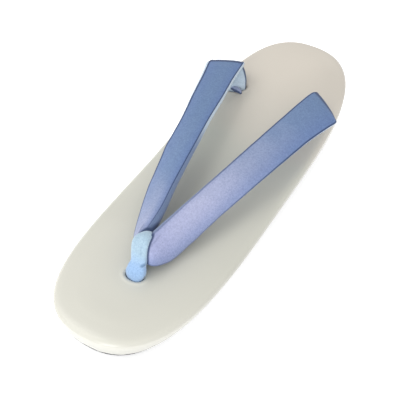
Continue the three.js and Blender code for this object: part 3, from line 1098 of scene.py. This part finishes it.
def closeness(points, others, reach):
    """One where points touch the other surface, falling to nothing at reach."""
    tree = KDTree(len(others))
    for index, point in enumerate(others):
        tree.insert(point, index)
    tree.balance()
    gaps = np.array([tree.find(point)[2] for point in points.reshape(-1, 3)])
    return np.clip(1 - gaps / reach, 0, 1).reshape(points.shape[:2])


def strap_grid(strap):
    return band_grid(strap["rows"], STRAP_SQUARENESS, strap["seams"])


def ridge_shade(grid, ridge):
    """How much painted shade a strap's face gets: none at its ridge, more towards its two edges,
    where the face turns away from the light.
    """
    peak, inner_share = ridge
    across = grid["across"] / grid["half"]
    outer = np.clip((across - peak) / (1 - peak), 0, 1)
    inner = np.clip((peak - across) / (1 + peak), 0, 1)
    return np.maximum(outer, inner * inner_share) ** RIDGE_SHARPNESS


def make_strap(name, strap, fade_at, touching, materials, sizes):
    """One strap. It gets painted shade next to each of the point clouds in touching, as far as each
    reaches.
    """
    grid = strap_grid(strap)
    seam = seam_distance(grid)
    depth, crease_shade = crease_depth(grid, strap["creases"])
    swell(grid, SEAM_DEPTH * np.exp(-((seam / SEAM_WIDTH) ** 2)) + depth, sizes.lumpiness)
    top, hem_at = np.interp([FOLD_ROW, strap["hem_shade"]], grid["row"][:, 0], grid["along"][:, 0])
    # Painted shade: a dark line across the upper face at the fold.
    hem_shade = np.abs(grid["along"] - hem_at) / HEM_SPREAD
    rim = np.clip((-grid["across"] / grid["half"] - LEG_LINE_FROM) / LEG_LINE_FADE, 0, 1)
    leg = rim * np.clip((grid["row"] - LEG_ROW) / LEG_FADE, 0, 1)
    placed = grid["points"] * np.array([strap["side"], 1, 1])
    # Painted shade where the loop or the other strap comes close.
    shade = [closeness(placed, others, reach) * CONTACT_SHADE_DEPTH for others, reach in touching]
    values = {
        "seam": np.where(np.sin(grid["turn"]) > 0, np.minimum(seam, hem_shade), seam),
        # Painted shade in crease troughs and where pieces touch, with the leg's dyed edge line.
        "fold": np.maximum.reduce([crease_shade, leg, *shade]),
        "dye": np.clip(0.5 + (grid["along"] / top - fade_at) / FADE_LENGTH, 0, 1),
        # Painted shade where the face turns down towards its edges.
        "edge": ridge_shade(grid, strap["ridge"]),
    }
    return close_band(name, grid, materials, True, strap["side"], **values)


def rows_about(middle, way):
    """A band's rows from its middle line, with its width laid along way."""
    rows = {"thick": middle["thick"]}
    for key, share in (("in", -0.5), ("out", 0.5)):
        for axis, step in zip("xyz", way):
            rows[f"{key}_{axis}"] = middle[axis] + share * step * middle["width"]
    return rows


def make_gather(name, side, materials):
    """The small roll of gathered crepe in front of a strap's leg, with painted shade round its rim.
    """
    grid = band_grid(rows_about(GATHER, (0, -1, 0)), GATHER_SQUARENESS)
    share = grid["along"] / grid["along"][-1, 0]
    rim = np.maximum(np.abs(grid["across"] / grid["half"]), np.abs(2 * share - 1))
    plain = np.zeros(rim.shape)
    values = {
        "seam": plain + NO_SEAM,
        # Painted shade round the roll's rim and ends.
        "fold": np.clip((rim - GATHER_SHADE_RIM) / GATHER_FADE, 0, 1),
        "dye": plain + GATHER_DYE,
        "edge": plain,
    }
    return close_band(name, grid, materials, False, side, **values)


def make_bend(materials):
    """The bend that joins the straps, plain because the toe loop covers it."""
    grid = band_grid(BEND, STRAP_SQUARENESS)
    seam = seam_distance(grid)
    plain = np.zeros(seam.shape)
    values = {"seam": seam, "fold": plain, "dye": plain, "edge": plain}
    return close_band("strap_bend", grid, materials, True, **values)


def loop_grid(sizes):
    """The toe loop's rings, puckered, and the painted shade in the troughs between its puckers."""
    grid = band_grid(rows_about(LOOP, (1, 0, 0)), LOOP_SQUARENESS)
    depth, crease_shade = crease_depth(grid, LOOP_CREASES)
    swell(grid, depth, sizes.lumpiness)
    return grid, crease_shade


def make_loop(sizes):
    grid, crease_shade = loop_grid(sizes)
    share = grid["along"] / grid["along"][-1, 0]
    return close_band("toe_loop_cloth", grid, [napped_cloth(sizes)], False, along=share, fold=crease_shade)


# Sizes and colours that a user may change.


def setting(kind, **fixed):
    """A kind of property that has yet to get its name, description and default."""

    def named(name, description, default):
        return kind(name=name, description=description, default=default, **fixed)

    return named


colour = setting(FloatVectorProperty, subtype="COLOR", min=0, max=1)
length = setting(FloatProperty, unit="LENGTH", min=0)
fraction = setting(FloatProperty, subtype="FACTOR", min=0, max=1)
wattage = setting(FloatProperty, unit="POWER", min=0)
focal_length = setting(FloatProperty, unit="CAMERA", min=1)
strength = setting(FloatProperty, min=0)
whole_number = setting(IntProperty, min=1)


class ZoriSole(bpy.types.PropertyGroup):
    """The black foam sole and its tread."""

    colour: colour("Colour", "The foam rubber's colour", (0.018, 0.018, 0.021))
    rib_height: length("Rib Height", "How far the tread's ribs stand out", 0.7 * MM)
    rib_width: length("Rib Width", "Width of a rib where it meets the floor", 1.3 * MM)
    rib_spacing: length("Rib Spacing", "From one rib to the next", 4.0 * MM)
    wave_height: length("Wave Height", "How far a rib swings from its line", 0.8 * MM)
    wave_length: length("Wave Length", "Length of one wave of a rib", 8.0 * MM)


class ZoriFootbed(bpy.types.PropertyGroup):
    """The padded footbed."""

    # Lighter than the middle: painted light falling on the toe from the front.
    toe_colour: colour("Toe Colour", "The leathercloth's tone at the toe", (0.660, 0.650, 0.575))
    colour: colour("Colour", "Its colour in the middle", (0.590, 0.585, 0.515))
    heel_colour: colour("Heel Colour", "Its tone at the heel", (0.640, 0.590, 0.515))
    # Painted shade where the cloth turns under the board.
    tuck_colour: colour("Tuck Colour", "Its tone where it turns under the board", (0.40, 0.40, 0.38))
    # Painted shade down inside a hole.
    hole_colour: colour("Hole Colour", "The cloth's tone down inside a hole", (0.16, 0.15, 0.13))
    lip: length("Lip", "Radius that the cloth is drawn over a hole's edge with", 0.9 * MM)
    lip_ridge: length("Lip Ridge", "How far the cloth stands up round a hole", 0.25 * MM)
    dent: length("Dent", "How far the padding is pulled down round a hole", 0.5 * MM)
    pleat: length("Pleat", "Depth of the pleats under the edge", 0.22 * MM)


class ZoriStraps(bpy.types.PropertyGroup):
    """The two padded straps."""

    tip_colour: colour("Tip Colour", "Crepe at the toe loop", (0.40, 0.43, 0.66))
    front_colour: colour("Front Colour", "Crepe near the toes", (0.43, 0.455, 0.64))
    middle_colour: colour("Middle Colour", "Crepe half way along the fade", (0.305, 0.355, 0.525))
    late_colour: colour("Late Colour", "Crepe behind the fade", (0.172, 0.252, 0.425))
    rear_colour: colour("Rear Colour", "Crepe at the rear", (0.145, 0.226, 0.39))
    right_fade: fraction("Right Fade", "Where the right strap's fade has its middle", 0.54)
    left_fade: fraction("Left Fade", "Where the left strap's fade has its middle", 0.165)
    # The seams' own dark dye, and painted shade in creases, at the fold and where pieces touch.
    seam_colour: colour("Seam Colour", "Dye in the seams and folds", (0.035, 0.06, 0.14))
    # Painted shade on the crepe where it turns down at the edges.
    edge_colour: colour("Edge Colour", "Crepe that turns down at the edges", (0.13, 0.20, 0.42))
    lining_colour: colour("Lining Colour", "The brushed lining", (0.58, 0.69, 0.80))
    # Painted shade on the lining towards the toes.
    lining_shade_colour: colour("Deep Lining Colour", "The lining near the toes", (0.19, 0.26, 0.43))
    loop_shade: length("Loop Shade", "Width of the loop's dark line on the left strap", 2.8 * MM)
    nose_shade: length("Nose Shade", "Width of its dark line on the right strap", 1.5 * MM)
    crotch_shade: length("Crotch Shade", "How far the dark between the straps reaches", 3.5 * MM)
    lumpiness: length("Lumpiness", "Unevenness of the stuffing", 0.08 * MM)


class ZoriLoop(bpy.types.PropertyGroup):
    """The toe loop."""

    colour: colour("Colour", "The napped cloth's colour", (0.42, 0.57, 0.69))
    low_colour: colour("Low Colour", "Its colour by the footbed", (0.33, 0.50, 0.76))
    # Painted shade in the folds.
    fold_colour: colour("Fold Colour", "Its colour in the folds", (0.06, 0.13, 0.26))
    lumpiness: length("Lumpiness", "Unevenness of the cloth", 0.4 * MM)


class ZoriStage(bpy.types.PropertyGroup):
    """Floor, lights and camera."""

    floor_colour: colour("Floor Colour", "The floor's colour", (0.93, 0.93, 0.93))
    floor_glow: strength("Floor Glow", "Light from the floor itself", 0.60)
    key_power: wattage("Key Power", "Overhead softbox", 3.8)
    toe_power: wattage("Toe Power", "Low softbox at the toe", 2.8)
    world_strength: strength("World Strength", "Light from all round", 0.8)
    lens: focal_length("Lens", "The camera's focal length", 79.0)
    floor_size: length("Floor Size", "Side of the floor", 6.0)
    squares: whole_number("Squares", "Squares along the floor's side", 8)


class ZORI_OT_sole(bpy.types.Operator):
    """Makes the foam sole and its tread"""

    bl_idname = "zori.sole"
    bl_label = "Make Sole"

    def execute(self, context):
        sizes = context.scene.zori_sole
        sole = dress(make_sole(sizes), "sole", "sole")
        dress(make_tread(sizes, sole.data.materials[0]), "sole", "sole")
        return {"FINISHED"}


class ZORI_OT_footbed(bpy.types.Operator):
    """Makes the padded footbed"""

    bl_idname = "zori.footbed"
    bl_label = "Make Footbed"

    def execute(self, context):
        made = dress(make_footbed(context.scene.zori_footbed), "footbed", "footbed")
        return {"FINISHED"}


class ZORI_OT_straps(bpy.types.Operator):
    """Makes the two padded straps and the bend that joins them"""

    bl_idname = "zori.straps"
    bl_label = "Make Straps"

    def execute(self, context):
        sizes = context.scene.zori_straps
        materials = [crepe(sizes), soft_lining(sizes)]
        loop = loop_grid(context.scene.zori_loop)[0]["points"].reshape(-1, 3)
        right = strap_grid(RIGHT)["points"].reshape(-1, 3)
        # Painted shade on the straps next to the loop and the right strap.
        by_nose = (loop, sizes.nose_shade / MM)
        by_loop = (loop, sizes.loop_shade / MM)
        by_strap = (right, sizes.crotch_shade / MM)
        made = [
            make_strap("strap_right", RIGHT, sizes.right_fade, [by_nose], materials, sizes),
            make_strap("strap_left", LEFT, sizes.left_fade, [by_loop, by_strap], materials, sizes),
            make_bend(materials),
            make_gather("strap_right_gather", 1, materials),
            make_gather("strap_left_gather", -1, materials),
        ]
        for strap in made:
            dress(strap, "straps", "straps")
        return {"FINISHED"}


class ZORI_OT_toe_loop(bpy.types.Operator):
    """Makes the soft toe loop"""

    bl_idname = "zori.toe_loop"
    bl_label = "Make Toe Loop"

    def execute(self, context):
        made = dress(make_loop(context.scene.zori_loop), "toe_loop", "toe_loop")
        return {"FINISHED"}


def make_floor(sizes):
    half = sizes.floor_size / 2
    cuts = np.linspace(-half, half, sizes.squares + 1) / MM
    x, y = np.meshgrid(cuts, cuts)
    points = np.column_stack([x.ravel(), y.ravel(), np.zeros(x.size)])
    corner = np.arange(x.size).reshape(x.shape)
    quads = np.stack([corner[:-1, :-1], corner[:-1, 1:], corner[1:, 1:], corner[1:, :-1]], -1)
    return piece("floor", points, quads.reshape(-1, 4).tolist(), [pale_floor(sizes)])


def aim(made, at):
    """Puts a light or a camera at a place, facing the sandal."""
    made.location = at
    made.rotation_euler = (LOOK_AT - Vector(at)).to_track_quat("-Z", "Y").to_euler()


def softbox(name, at, size, watts):
    light = bpy.data.lights.new(name, "AREA")
    light.shape = "RECTANGLE"
    light.size, light.size_y = size
    light.energy = watts
    aim(stand(name, light), at)


def make_camera(sizes):
    data = bpy.data.cameras.new("camera")
    data.lens = sizes.lens
    data.sensor_width = SENSOR
    camera = stand("camera", data)
    aim(camera, CAMERA_AT)
    return camera


class ZORI_OT_stage(bpy.types.Operator):
    """Makes the floor, the lights and the camera"""

    bl_idname = "zori.stage"
    bl_label = "Make Stage"

    def execute(self, context):
        scene = context.scene
        sizes = scene.zori_stage
        make_floor(sizes)
        softbox("overhead_softbox", OVERHEAD_AT, OVERHEAD_SIZE, sizes.key_power)
        softbox("toe_softbox", TOE_LIGHT_AT, TOE_LIGHT_SIZE, sizes.toe_power)
        scene.world = scene.world or bpy.data.worlds.new("studio")
        scene.world.use_nodes = True
        background = scene.world.node_tree.nodes["Background"].inputs
        background["Color"].default_value = (1, 1, 1, 1)
        background["Strength"].default_value = sizes.world_strength
        scene.view_settings.view_transform = "Standard"
        scene.camera = make_camera(sizes)
        return {"FINISHED"}


class ZORI_PT_panel(bpy.types.Panel):
    """Lists the sandal's pieces in the sidebar"""

    bl_label = "Zori sandal"
    bl_idname = "ZORI_PT_panel"
    bl_space_type = "VIEW_3D"
    bl_region_type = "UI"
    bl_category = "Zori"

    def draw(self, context):
        for operator, group in STEPS:
            box = self.layout.box()
            box.operator(operator.bl_idname)
            sizes = getattr(context.scene, group)
            for key in sizes.__annotations__:
                box.prop(sizes, key)


STEPS = (
    (ZORI_OT_sole, "zori_sole"),
    (ZORI_OT_footbed, "zori_footbed"),
    (ZORI_OT_straps, "zori_straps"),
    (ZORI_OT_toe_loop, "zori_loop"),
    (ZORI_OT_stage, "zori_stage"),
)
GROUPS = {
    "zori_sole": ZoriSole,
    "zori_footbed": ZoriFootbed,
    "zori_straps": ZoriStraps,
    "zori_loop": ZoriLoop,
    "zori_stage": ZoriStage,
}
CLASSES = (*GROUPS.values(), *(operator for operator, _ in STEPS), ZORI_PT_panel)


def register():
    for made in CLASSES:
        bpy.utils.register_class(made)
    for name, group in GROUPS.items():
        setattr(bpy.types.Scene, name, PointerProperty(type=group))


def unregister():
    for name in GROUPS:
        delattr(bpy.types.Scene, name)
    for made in reversed(CLASSES):
        bpy.utils.unregister_class(made)


def main():
    register()
    bpy.ops.zori.sole()
    bpy.ops.zori.footbed()
    bpy.ops.zori.straps()
    bpy.ops.zori.toe_loop()
    bpy.ops.zori.stage()


if __name__ == "__main__":
    main()
